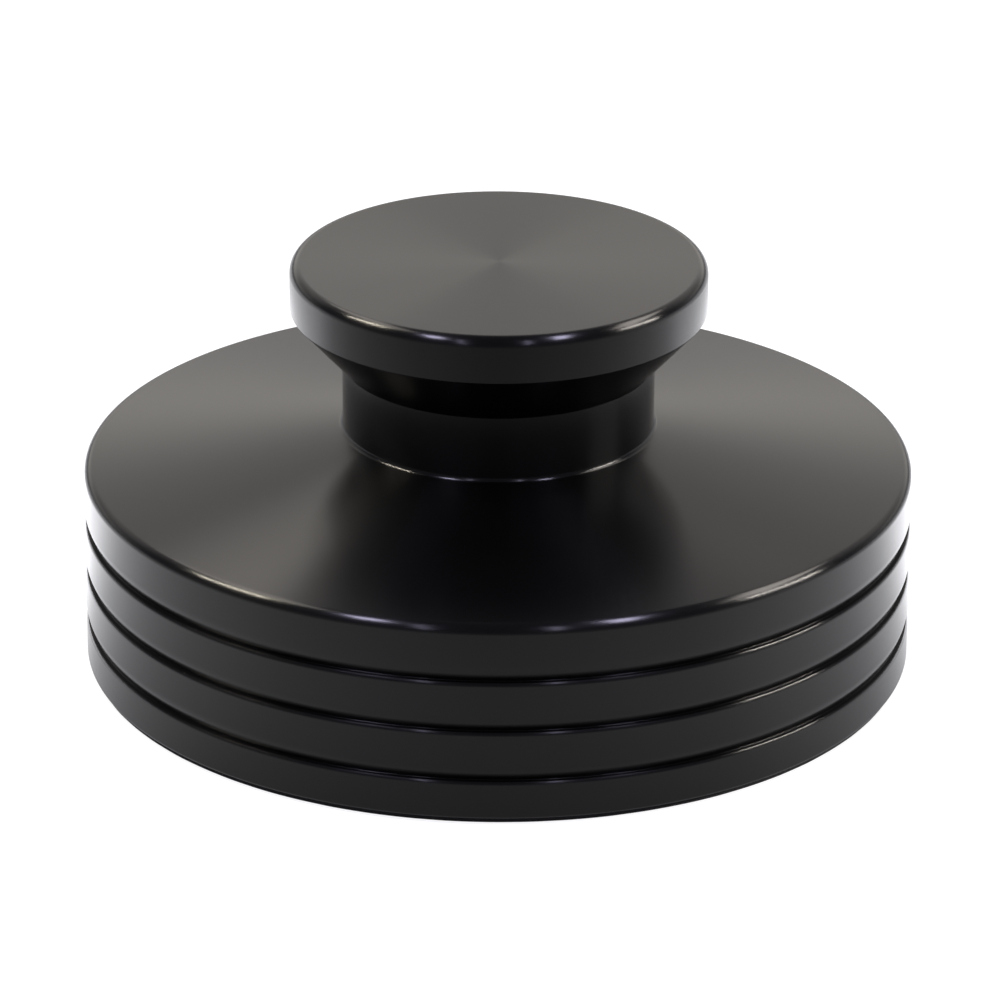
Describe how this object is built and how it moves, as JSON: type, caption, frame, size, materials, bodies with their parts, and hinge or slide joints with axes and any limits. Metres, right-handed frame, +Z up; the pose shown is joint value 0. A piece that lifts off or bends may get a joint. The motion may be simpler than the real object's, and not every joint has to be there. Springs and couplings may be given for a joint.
{
  "type": "record weight",
  "caption": "Turned black metal record weight: a wide grooved disc with a shallow conical top and a waisted, flat-topped knob, a blind bore that drops over a turntable spindle, and a felt pad below.",
  "frame": {"origin": "on the axis, in the plane of the felt pad's underside, which rests on the record", "axes": "+Z up along the axis of turning, from the pad to the knob's flat top; X and Y are free"},
  "size_m": [0.08, 0.08, 0.0401],
  "materials": {
    "anodised_body": "black anodised, fine turned satin",
    "felt": "short-pile black felt"
  },
  "bodies": {
    "root": {"weight_body": "anodised_body", "felt_pad": "felt"}
  },
  "joints": []
}
